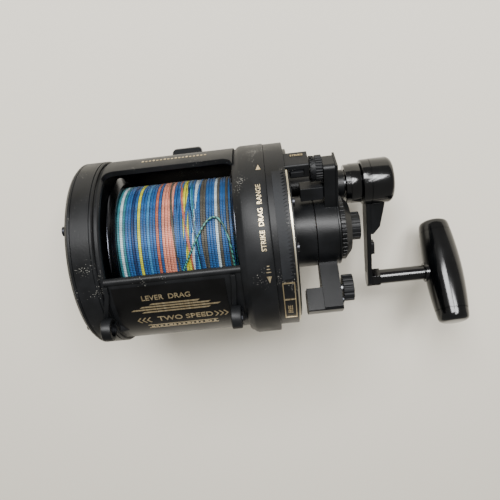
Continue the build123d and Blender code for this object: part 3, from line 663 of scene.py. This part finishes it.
class REEL_OT_casting(bpy.types.Operator):
    """Models the one-piece frame: both rings, the three bars, the ribs and the lug ears"""

    bl_idname = "reel.casting"
    bl_label = "Frame casting"

    def execute(self, context):
        edge = context.scene.reel_sizes.edge
        left = lathe(
            "left_ring",
            closed(
                [
                    (LEFT_OUT, 46), (LEFT_OUT, LEFT_R - 0.4), (LEFT_OUT + 0.4, LEFT_R),
                    (LEFT_IN - 2.0, LEFT_R), (LEFT_IN - 1.8, LEFT_R - 0.5), (LEFT_IN - 1.3, LEFT_R - 0.5),
                    (LEFT_IN - 1.1, LEFT_R), (LEFT_IN - 0.6, LEFT_R), (LEFT_IN, LEFT_R - 0.6),
                    (LEFT_IN, 52.6), (LEFT_IN + 0.3, 52.3), (WINDOW_LEFT - 0.7, 52.3),
                    (WINDOW_LEFT, 51.6), (WINDOW_LEFT, 49.4), (WINDOW_LEFT - 0.6, 48.7),
                    (LEFT_IN - 2.0, 48.7), (LEFT_IN - 2.0, 20.0), (LEFT_IN - 3.2, 20.0), (LEFT_IN - 3.2, 46),
                ]
            ),
        )
        right = lathe(
            "right_ring",
            closed(
                [
                    (RIGHT_IN, 46.6), (RIGHT_IN, 53.4), (RIGHT_IN + 0.5, 54.0), (RIGHT_IN + 1.6, 54.4),
                    (RIGHT_IN + 3.0, RIGHT_R - 0.5), (RIGHT_IN + 4.2, RIGHT_R), (RIGHT_OUT - 0.8, RIGHT_R),
                    (RIGHT_OUT - 0.2, RIGHT_R - 0.3), (RIGHT_OUT, RIGHT_R - 0.9), (RIGHT_OUT, 51.0),
                    (RIGHT_OUT - 2.4, 51.0), (RIGHT_OUT - 2.4, 46.6),
                ]
            ),
            RIGHT_AXIS,
        )
        label = bent_bar("label_bar", BAR_LOW, BAR_HIGH, BAR_INNER_R, LABEL_R, *LABEL_ANGLES, bevel=0.6)
        bead_at = around(0, 51.6, LABEL_ANGLES[1])
        bead = rod("bead", BAR_LOW, BAR_HIGH, 2.1, bead_at, 0.0, 32)
        foot_bar = bent_bar("foot_bar", BAR_LOW, BAR_HIGH, BAR_INNER_R, 53.4, *FOOT_ANGLES, bevel=0.8)
        pieces = [left, right, label, bead, foot_bar, self.front_bar(edge)]
        for top, bottom in RIBS:
            pieces.append(self.rib(top, bottom))
        for low, high in LUG_SPANS:
            pieces += self.lug(low, high)
        casting = joined("frame_casting", pieces)
        dress(casting, "body", "graphite", FINISH["graphite"], "frame")
        return {"FINISHED"}

    def lug(self, low, high):
        """A lug's ring, the web that carries it and the tail that runs down the label bar."""
        boss = [
            (low, 5.2), (low, 5.7), (low + 0.5, 6.2), (high - 0.7, 6.2), (high - 0.15, 5.9), (high, 5.2)
        ]
        web_at = high - 0.6
        root = 52.6
        web = [
            around(web_at, root, -26.0), around(web_at, 56.6, -24.0),
            around(web_at, 57.0, -32.5), around(web_at, root, -36.0),
        ]
        tail_at = high + 0.8
        tail = [
            around(tail_at, root, -30.0), around(tail_at, 55.2, -33.0), around(high + 6.5, root, -36.0)
        ]
        tail_depth = around(0, 1.8, -120.0) - around(0, 0, 0)
        return [
            lathe("boss", closed(boss), LUG, 64),
            prism("web", web, (1.6, 0, 0), 0.3),
            prism("tail", tail, tail_depth, 0.2),
        ]

    def rib(self, top, bottom):
        """An upright rib that runs down the label bar from the bead to a lug."""
        half = 1.25
        outline = [
            (top - half, 0.4), (top - half, -5), (bottom - half, -29), (bottom - half + 0.6, -31),
            (bottom + half - 0.6, -31), (bottom + half, -29), (top + half, -5), (top + half, 0.4),
        ]
        return patch("rib", outline, 52.4, 2.65, cut=2.5, bevel=0.4)

    def front_bar(self, edge):
        """The front bar, flared into both rings at the window's corners."""
        low, high = FRONT_ANGLES
        flare, overlap, radius = 5.5, 6, 50.8
        degrees_per_mm = 180 / (math.pi * 52.2)
        corner = []
        for step in range(7):
            turn = math.radians(15 * step)
            angle = low - (flare - flare * math.sin(turn)) * degrees_per_mm
            corner.append((flare * (1 - math.cos(turn)), angle))
        top = low - flare * degrees_per_mm
        outline = [(BAR_LOW, high + overlap), (BAR_LOW, top)]
        outline += [(WINDOW_LEFT + inset, angle) for inset, angle in corner]
        outline += [(RIGHT_IN - inset, angle) for inset, angle in reversed(corner)]
        outline += [(BAR_HIGH, top), (BAR_HIGH, high + overlap)]
        return patch("front_bar", outline, radius, 3.1, bevel=edge)


class REEL_OT_label(bpy.types.Operator):
    """Models the label panel with its gilt ornament"""

    bl_idname = "reel.label"
    bl_label = "Label"

    def execute(self, context):
        low, high = reach("label_panel")
        panel = patch(
            "label_panel_film",
            [(-34.6, -52), (25.4, -52), (25.4, -1.6), (-34.6, -1.6)],
            LABEL_R,
            LABEL_FILM,
            cut=2.0,
            bevel=0.12,
        )
        dress(panel, "body", "graphite", FINISH["panel"], "label_panel")
        radius = LABEL_R + LABEL_FILM
        centre = (low.x + high.x) / 2 + 2.0
        marks = [lettering("lever_drag", "LEVER  DRAG", 4.4, (centre - 4.5, -9.6), radius, True)]
        marks.append(lettering("two_speed", "TWO SPEED", 5.6, (centre + 3.0, -27.2), radius, True))
        # half length and angle of each stripe
        stripes = ((13.0, -14.6), (18.5, -16.5), (23.5, -18.5), (18.0, -20.6))
        for row, (half, angle) in enumerate(stripes):
            left, right = centre - half - 1.5, centre + half - 1.5
            line = [(left, angle), (right, angle), (right + 1.6, angle + 1.1), (left + 1.6, angle + 1.1)]
            marks.append(patch(f"line_{row}", line, radius, 0.1, cut=4))
        for side in (-1, 1):
            for step in range(3):
                station = centre + side * (22.5 - 2.6 * step) + 1.5
                chevron = [
                    (station, -29.6), (station + side * 1.8, -27.2), (station, -24.8),
                    (station + side * 0.9, -24.8), (station + side * 2.7, -27.2),
                    (station + side * 0.9, -29.6),
                ]
                marks.append(patch(f"chevron_{side}_{step}", chevron, radius, 0.1, cut=4))
        left, right = centre - 19.0, centre + 20.0
        for angle in (-33.2, -36.6):
            rule = [(left, angle), (right, angle), (right, angle + 0.35), (left, angle + 0.35)]
            marks.append(patch("rule", rule, radius, 0.1, cut=4))
        for number in range(15):
            station = left + 1.5 + 2.5 * number
            wide = 1.3 if number % 4 else 1.9
            dash = [(station, -35.5), (station + wide, -35.5), (station + wide, -34.2), (station, -34.2)]
            marks.append(patch("dash", dash, radius, 0.1, cut=4))
        ornament = joined("label_ornament", marks)
        dress(ornament, "body", "gilt", FINISH["gilt"])
        front = []
        foot_angle = 84
        for number in range(18):
            station = -17 + 2.1 * number
            top_angle = foot_angle + (1.6 if number % 3 else 2.4)
            tick = [
                (station, foot_angle), (station + 1.2, foot_angle),
                (station + 1.2, top_angle), (station, top_angle),
            ]
            front.append(patch(f"front_tick_{number}", tick, 53.95, 0.08, cut=4))
        dress(joined("front_ornament", front), "body", "gilt", FINISH["gilt"])
        return {"FINISHED"}


class REEL_OT_ring_marks(bpy.types.Operator):
    """Prints the drag range column on the right ring"""

    bl_idname = "reel.ring_marks"
    bl_label = "Ring marks"

    def execute(self, context):
        station = RIGHT_OUT - 3.4
        radius = RIGHT_R
        words = "STRIKE  DRAG  RANGE"
        marks = [lettering("range_words", words, 3.5, (station - 0.9, 31.5), radius, axis=RIGHT_AXIS)]
        for tip, base in ((64.0, 60.0), (-4.5, -0.5)):
            arrow = [(station - 1.3, base), (station + 1.3, base), (station, tip)]
            marks.append(patch("arrow", arrow, radius, 0.1, RIGHT_AXIS, cut=9))
        for number in range(3):
            angle = 1.6 + 1.7 * number
            wide = 2.4 - 0.6 * number
            tick = [
                (station - wide / 2, angle), (station + wide / 2, angle),
                (station + wide / 2, angle + 0.5), (station - wide / 2, angle + 0.5),
            ]
            marks.append(patch("tick", tick, radius, 0.1, RIGHT_AXIS, cut=9))
        dress(joined("range_print", marks), "body", "gilt", FINISH["gilt"])
        return {"FINISHED"}


class REEL_OT_spool(bpy.types.Operator):
    """Rounds the edges of the spool's rims and gives it its finish"""

    bl_idname = "reel.spool"
    bl_label = "Spool"

    def execute(self, context):
        spool = refined("spool", "spool_rims", 0.25)
        dress(spool, "spool", "aluminium", FINISH["aluminium"], "spool")
        return {"FINISHED"}


class REEL_OT_line(bpy.types.Operator):
    """Winds the strands of braid on the spool"""

    bl_idname = "reel.line"
    bl_label = "Wound line"

    def execute(self, context):
        sizes = context.scene.reel_sizes
        draw = random.Random(context.scene.reel_look.seed)
        half = sizes.strand / 2
        core_r, bore_r = LINE_R - 1.0, 22.2
        core = closed([(LINE_LOW, bore_r), (LINE_LOW, core_r), (LINE_HIGH, core_r), (LINE_HIGH, bore_r)])
        drum = lathe("line_core", core)
        codes = sorted(STRAND_COLOURS)
        # the line under the strands is dark navy as painted shade for the gaps between them
        dress(drum, "spool", "braid", braid("Buried braid in painted shade", "#16324f", "#0a1524"), "wound_line")
        ring = self.strand(half)
        pitch = (LINE_HIGH - LINE_LOW - sizes.strand) / (len(STRAND_ORDER) - 1)
        strands = []
        for number, code in enumerate(STRAND_ORDER):
            station = LINE_LOW + half + pitch * number
            sway = 0.10 * draw.uniform(-1, 1)
            lift = draw.uniform(-0.22, 0.0)
            lay = (station, sizes.wander, sway, LINE_R - half - 0.02 + lift, 0.0, draw.uniform(0, 6.3))
            strands.append(self.lay_strand(ring, f"strand_{number}", lay, codes.index(code)))
        for number, code in enumerate(CROSSING_ORDER):
            station = draw.uniform(LINE_LOW + 10, LINE_HIGH - 10)
            if number % 3:
                station = draw.uniform(4, LINE_HIGH - 10)
            swing = draw.choice((-1, 1)) * draw.uniform(1.8, 4.2)
            lay = (station, swing, 0.0, LINE_R - half + 0.42, 1.3, draw.uniform(0, 6.3))
            strands.append(self.lay_strand(ring, f"crossing_{number}", lay, codes.index(code)))
        bpy.data.objects.remove(ring)
        winding = joined("line_strands", strands)
        winding.data.materials.clear()
        for code in codes:
            winding.data.materials.append(braid(*STRAND_COLOURS[code]))
        for polygon, slot in zip(winding.data.polygons, self.slots(winding)):
            polygon.material_index = slot
        place_on(winding, "spool", "braid", "wound_line")
        return {"FINISHED"}

    def strand(self, half):
        """One true ring of line, with a map that runs along it."""
        section = []
        for corner in range(6):
            turn = math.radians(60 * corner)
            section.append((half * math.cos(turn), LINE_R - half + half * math.sin(turn)))
        ring = lathe("strand", closed(section), SPOOL, 150)
        uv = ring.data.uv_layers.new(name=STRAND_MAP)
        for polygon in ring.data.polygons:
            first = None
            for loop in polygon.loop_indices:
                spot = ring.data.vertices[ring.data.loops[loop].vertex_index].co / MM
                turn = math.atan2(spot.y - SPOOL.y, spot.z - SPOOL.z)
                out = math.hypot(spot.y - SPOOL.y, spot.z - SPOOL.z) - (LINE_R - half)
                roll = math.atan2(out, spot.x)
                if first is None:
                    first = (turn, roll)
                turn += math.tau * round((first[0] - turn) / math.tau)
                roll += math.tau * round((first[1] - roll) / math.tau)
                uv.data[loop].uv = (turn * LINE_R, roll / math.tau * 4.0)
        return ring

    def lay_strand(self, ring, name, lay, colour):
        """A copy of the ring that drifts along the spool as it goes round, or dives under others."""
        station, swing, sway, radius, dip, phase = lay
        copy = bpy.data.objects.new(name, ring.data.copy())
        bpy.context.scene.collection.objects.link(copy)
        base = radius - (LINE_R - bpy.context.scene.reel_sizes.strand / 2)
        slots = copy.data.attributes.new("strand_colour", "INT", "FACE")
        slots.data.foreach_set("value", [colour] * len(copy.data.polygons))
        for vertex in copy.data.vertices:
            spot = vertex.co / MM
            angle = math.atan2(spot.y - SPOOL.y, spot.z - SPOOL.z)
            out = math.hypot(spot.y - SPOOL.y, spot.z - SPOOL.z)
            if dip:
                drift = swing * math.sin(angle - 0.6)
                rise = base - dip * (1 - math.cos(angle - 0.6)) / 2
            else:
                slow = 0.55 * math.sin(angle + station * 0.045)
                quick = 0.3 * math.sin(2 * angle - station * 0.08)
                drift = swing * (slow + quick)
                drift *= 1 - (abs(station) / 33.5) ** 6
                drift += sway * math.sin(3 * angle + phase)
                rise = base + 0.08 * math.sin(5 * angle + phase)
            out += rise
            spot.x += station + drift
            spot.x = min(max(spot.x, LINE_LOW + 0.02), LINE_HIGH - 0.02)
            spot.y = SPOOL.y + out * math.sin(angle)
            spot.z = SPOOL.z + out * math.cos(angle)
            vertex.co = spot * MM
        return copy

    def slots(self, winding):
        """The colour number of each face."""
        values = winding.data.attributes["strand_colour"].data
        return [value.value for value in values]


class REEL_OT_loop(bpy.types.Operator):
    """Lays the slack turn of line over the wound line"""

    bl_idname = "reel.loop"
    bl_label = "Slack turn"

    def execute(self, context):
        lift = LINE_R + 1.25
        route = (
            (-4.0, -22.0), (0.0, -9.5), (4.0, 3.0), (8.5, 15.0), (13.0, 26.5), (16.8, 34.5), (20.3, 39.2),
            (23.8, 38.8), (26.7, 32.6), (28.7, 22.8), (29.9, 12.0), (30.4, 1.0), (30.5, -10.0),
        )
        points = [around(station, lift, angle) * MM for station, angle in route]
        line = bpy.data.curves.new("slack_turn", "CURVE")
        line.dimensions = "3D"
        line.bevel_depth = context.scene.reel_sizes.loop / 2 * MM
        line.bevel_resolution = 3
        line.resolution_u = 8
        line.use_fill_caps = True
        spline = line.splines.new("NURBS")
        spline.points.add(len(points) - 1)
        for control, spot in zip(spline.points, points):
            control.co = (*spot, 1)
        spline.order_u = 3
        spline.use_endpoint_u = True
        piece = bpy.data.objects.new("slack_turn", line)
        context.scene.collection.objects.link(piece)
        dress(piece, "spool", "loop_braid", FINISH["loop"], "line_loop")
        return {"FINISHED"}


REFINED = (
    # node, new name, body, slot, finish, edge
    ("foot", "reel_foot", "body", "painted_black", "foot", 0.5),
    ("left_side_cover", "left_cover_plate", "body", "graphite", "graphite", 0.3),
    ("gear_housing", "gear_housing_shell", "body", "graphite", "graphite", 0.35),
    ("lever_boss", "serrated_boss", "body", "painted_black", "painted", 0.12),
    ("handle_tower", "shaft_tower", "body", "painted_black", "painted", 0.3),
    ("strike_block", "strike_stop", "body", "graphite", "graphite", 0.3),
    ("strike_button", "strike_stop_button", "strike_button", "moulded_black", "moulded", 0.25),
    ("drag_lever", "drag_lever_casting", "lever", "painted_black", "painted", 0.4),
    ("lever_pointer_block", "lever_pointer", "lever", "painted_black", "moulded", 0.35),
    ("lever_side_plate", "lever_plate", "lever", "painted_black", "painted", 0.25),
    ("preset_knob", "preset_wheel", "preset", "painted_black", "painted", 0.15),
    ("preset_cap", "preset_button", "preset", "moulded_black", "moulded", 0.2),
    ("selector_knob", "selector_wheel", "selector", "moulded_black", "moulded", 0.3),
    ("click_button", "click_slider", "click", "moulded_black", "moulded", 0.25),
    ("handle_arm", "crank_arm", "crank", "painted_black", "painted", 0.4),
    ("arm_fairing", "crank_fairing", "crank", "painted_black", "painted", 0.6),
    ("gear_release_slide", "release_slider", "release", "moulded_black", "moulded", 0.3),
    ("knob_shaft", "knob_spindle", "crank", "gloss_black", "gloss", 0.35),
    ("shift_button", "shift_plunger", "shift_button", "gloss_black", "gloss", 0.4),
)


class REEL_OT_metalwork(bpy.types.Operator):
    """Rounds the edges of the cast, moulded and machined pieces and gives them their finish"""

    bl_idname = "reel.metalwork"
    bl_label = "Castings and mouldings"

    def execute(self, context):
        for node, name, body, slot, finish, edge in REFINED:
            dress(refined(node, name, edge), body, slot, FINISH[finish], node)
        return {"FINISHED"}


class REEL_OT_scale(bpy.types.Operator):
    """Models the saw-edged scale band, the gilt boxes and the bright strip on the housing"""

    bl_idname = "reel.scale"
    bl_label = "Drag scale"

    def execute(self, context):
        low, high = reach("scale_band")
        radius = 54.0
        bottom, top, teeth, depth = -6.0, 57.0, 30, 2.0
        outline = [(low.x + 1.0, top), (low.x + 1.0, bottom)]
        for number in range(teeth):
            angle = bottom + (top - bottom) * number / teeth
            outline.append((high.x - depth, angle))
            outline.append((high.x, angle + (top - bottom) / 2 / teeth))
        outline.append((high.x - depth, top))
        band = patch("scale_band_skin", outline, radius, 0.45, cut=2.0)
        dress(band, "body", "graphite", FINISH["band"], "scale_band")
        rim = [(62.6, -50), (63.5, -50), (63.5, 58), (62.6, 58)]
        strip = patch("scale_edge_strip", rim, 51.0, 2.5, cut=2.0, bevel=0.1)
        dress(strip, "body", "gilt", FINISH["pale_gilt"], "scale_strip")
        lines = []
        left, right = low.x + 0.6, high.x - 0.2
        for angle in (-9.0, -21.0, -40.0):
            lines.append([(left, angle), (right, angle), (right, angle + 0.7), (left, angle + 0.7)])
        for station in (left, right - 0.5):
            lines.append([(station, -40.0), (station + 0.5, -40.0), (station + 0.5, -8.4), (station, -8.4)])
        boxes = [patch("box_line", line, radius, 0.35, cut=2.5) for line in lines]
        boxes.append(lettering("free_word", "FREE", 3.6, ((left + right) / 2, -30.0), radius + 0.05))
        dress(joined("free_box", boxes), "body", "gilt", FINISH["gilt"])
        words = lettering("strike_word", "STRIKE", 2.3, (69.6, 71.6), 52.62, True)
        dress(words, "body", "gilt", FINISH["gilt"])
        return {"FINISHED"}


class REEL_OT_thumb_pad(bpy.types.Operator):
    """Models the ribbed thumb pad of the drag lever"""

    bl_idname = "reel.thumb_pad"
    bl_label = "Thumb pad"

    def execute(self, context):
        low, high = reach("lever_thumb_pad")
        axis = (low + high) / 2
        radius = (high.z - low.z) / 2
        body = rod("pad", low.x, high.x, radius - 0.6, axis, 0.8, 64)
        pieces = [body]
        count = 26
        for number in range(count):
            angle = 360 * number / count
            ridge = around(0, radius - 0.75, angle, axis)
            ridge_axis = Vector((0, ridge.y, ridge.z))
            pieces.append(rod("ridge", low.x + 3.4, high.x - 0.3, 0.72, ridge_axis, 0.25, 10))
        count = 14
        foot = radius - 0.62
        for number in range(count):
            angle = 360 * number / count
            near = around(low.x + 0.7, foot, angle, axis)
            far = around(low.x + 2.7, foot, angle + 12, axis)
            end = around(low.x + 0.7, foot, angle + 24, axis)
            out = around(0, 0.5, angle + 12, Vector((0, 0, 0)))
            thin, thick = Vector((-0.5, 0, 0)), Vector((-0.9, 0, 0))
            outline = [near, far, end, end + thin, far + thick, near + thin]
            pieces.append(prism("zigzag", outline, out, 0.0))
        dress(joined("thumb_pad", pieces), "lever", "moulded_black", FINISH["moulded"], "lever_thumb_pad")
        return {"FINISHED"}


class REEL_OT_crank(bpy.types.Operator):
    """Turns the polished hub and sleeve of the crank"""

    bl_idname = "reel.crank"
    bl_label = "Crank hub"

    def execute(self, context):
        low, high = reach("handle_hub")
        radius = (high.z - low.z) / 2
        hub = lathe(
            "crank_hub",
            [
                (low.x, 5.0), (low.x, radius - 0.9), (low.x + 0.4, radius - 0.3), (low.x + 1.0, radius - 0.2),
                (low.x + 5.0, radius - 0.1), (low.x + 5.15, radius - 0.35), (low.x + 5.35, radius - 0.35),
                (low.x + 5.5, radius - 0.05), (high.x - 3.4, radius), (high.x - 2.2, radius - 0.4),
                (high.x - 1.0, radius - 1.3), (high.x - 0.3, radius - 2.4), (high.x, radius - 3.6),
                (high.x - 0.1, 6.6), (high.x - 0.6, 6.4), (high.x - 7.0, 6.4), (high.x - 7.0, 0),
            ],
            CRANK,
        )
        dress(hub, "crank", "gloss_black", FINISH["gloss"], "handle_hub")
        low, high = reach("handle_sleeve")
        radius = (high.z - low.z) / 2
        sleeve = lathe(
            "crank_sleeve",
            closed(
                [
                    (low.x, 5.0), (low.x, radius - 0.9), (low.x + 0.5, radius - 0.4),
                    (low.x + 3.2, radius - 0.3), (low.x + 3.4, radius), (high.x - 1.0, radius),
                    (high.x - 0.4, radius - 0.4),
                    (high.x, radius - 1.2), (high.x, 5.0),
                ]
            ),
            CRANK,
        )
        dress(sleeve, "crank", "gloss_black", FINISH["gloss"], "handle_sleeve")
        return {"FINISHED"}


class REEL_OT_grip(bpy.types.Operator):
    """Turns the T-bar grip with its end caps"""

    bl_idname = "reel.grip"
    bl_label = "T-bar grip"

    def execute(self, context):
        half, waist, tip, cap_length = 35.05, 12.2, 10.55, 8.0
        profile = []
        for step in range(25):
            share = -1 + step / 12
            run = share * (half - cap_length)
            bulge = waist - (waist - tip) * abs(share) ** 1.9
            profile.append((run, bulge))
        body = [(-half + cap_length, 0), *profile, (half - cap_length, 0)]
        # the bar lies across the crank arm, whose direction in Y and Z this is
        lean = math.atan2(-0.747, 0.665)
        low, high = reach("grip")
        place = Matrix.Translation(Vector(((low.x + high.x) / 2, KNOB.y, KNOB.z)) * MM)
        place = place @ Matrix.Rotation(-lean, 4, "X") @ Matrix.Rotation(-math.pi / 2, 4, "Y")
        origin = Vector((0, 0, 0))
        grip = lathe("grip_body", body, origin)
        grip.data.transform(place)
        dress(grip, "grip", "gloss_black", FINISH["gloss"], "grip")
        seam = half - cap_length
        cap_profile = [
            (seam - 0.05, 0), (seam - 0.05, tip - 0.5), (seam + 0.25, tip - 0.15), (half - 4.5, tip - 0.45),
            (half - 2.2, tip - 0.85), (half - 1.1, tip - 1.5), (half - 0.3, tip - 2.9),
            (half, tip - 4.6), (half, 0),
        ]
        caps = []
        for side in (-1, 1):
            cap = [(side * station, cap_r) for station, cap_r in cap_profile]
            piece = lathe("grip_cap", cap, origin)
            piece.data.transform(place)
            caps.append(piece)
        dress(joined("grip_end_caps", caps), "grip", "gloss_black", FINISH["gloss"], "grip_caps")
        collar = lathe(
            "grip_collar",
            closed([(150.1, 5.1), (150.1, 6.2), (150.5, 6.6), (155.0, 6.6), (155.0, 5.1)]),
            KNOB,
            64,
        )
        dress(collar, "grip", "gloss_black", FINISH["gloss"], "grip_bush")
        return {"FINISHED"}


# finish: the CAD nodes that keep their own shape
PLAIN_FINISH = {
    "screw": (
        "foot_screws", "left_cover_screws", "housing_screws", "lever_tail_screws", "harness_lug_eyelets",
    ),
    "steel": (
        "shaft_bearings", "spool_bearings", "spool_shaft", "spring_washers", "click_gear", "click_pawl",
        "drag_plate", "pinion_sleeve", "high_pinion", "low_pinion", "high_gear", "low_gear", "gear_spacer",
        "ratchet_wheel", "anti_reverse_pawl", "pawl_pin", "drag_cam", "selector_shaft", "handle_shaft",
    ),
    "bronze": ("left_shaft_bush", "lever_thrust_washer"),
    "aluminium": ("gear_plate",),
    "carbon": ("drag_washer",),
}


class REEL_OT_works(bpy.types.Operator):
    """Gives the screws and the inner works their metals"""

    bl_idname = "reel.works"
    bl_label = "Screws and inner works"

    def execute(self, context):
        for finish, nodes in PLAIN_FINISH.items():
            for node in nodes:
                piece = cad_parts[node]
                for slot in piece.material_slots:
                    slot.material = FINISH[finish]
        return {"FINISHED"}


class REEL_PT_panel(bpy.types.Panel):
    """Lists the reel's operators"""

    bl_idname = "REEL_PT_panel"
    bl_label = "Trolling reel"
    bl_space_type = "VIEW_3D"
    bl_region_type = "UI"
    bl_category = "Reel"

    def draw(self, context):
        column = self.layout.column()
        for operator in OPERATORS:
            column.operator(operator.bl_idname)
        for name in ("strand", "wander", "edge", "loop"):
            column.prop(context.scene.reel_sizes, name)
        column.prop(context.scene.reel_look, "floor")
        column.prop(context.scene.reel_look, "seed")


OPERATORS = (
    REEL_OT_stage,
    REEL_OT_loop,
    REEL_OT_casting,
    REEL_OT_label,
    REEL_OT_ring_marks,
    REEL_OT_spool,
    REEL_OT_line,
    REEL_OT_metalwork,
    REEL_OT_scale,
    REEL_OT_thumb_pad,
    REEL_OT_crank,
    REEL_OT_grip,
    REEL_OT_works,
)
CLASSES = (ReelSizes, ReelLook, *OPERATORS, REEL_PT_panel)


def register():
    for item in CLASSES:
        bpy.utils.register_class(item)
    bpy.types.Scene.reel_sizes = bpy.props.PointerProperty(type=ReelSizes)
    bpy.types.Scene.reel_look = bpy.props.PointerProperty(type=ReelLook)


def unregister():
    del bpy.types.Scene.reel_look
    del bpy.types.Scene.reel_sizes
    for item in reversed(CLASSES):
        bpy.utils.unregister_class(item)


def main():
    """Runs every operator in order."""
    register()
    FINISH.update(make_materials())
    for operator in OPERATORS:
        group, name = operator.bl_idname.split(".")
        getattr(getattr(bpy.ops, group), name)()


if __name__ == "__main__":
    main()
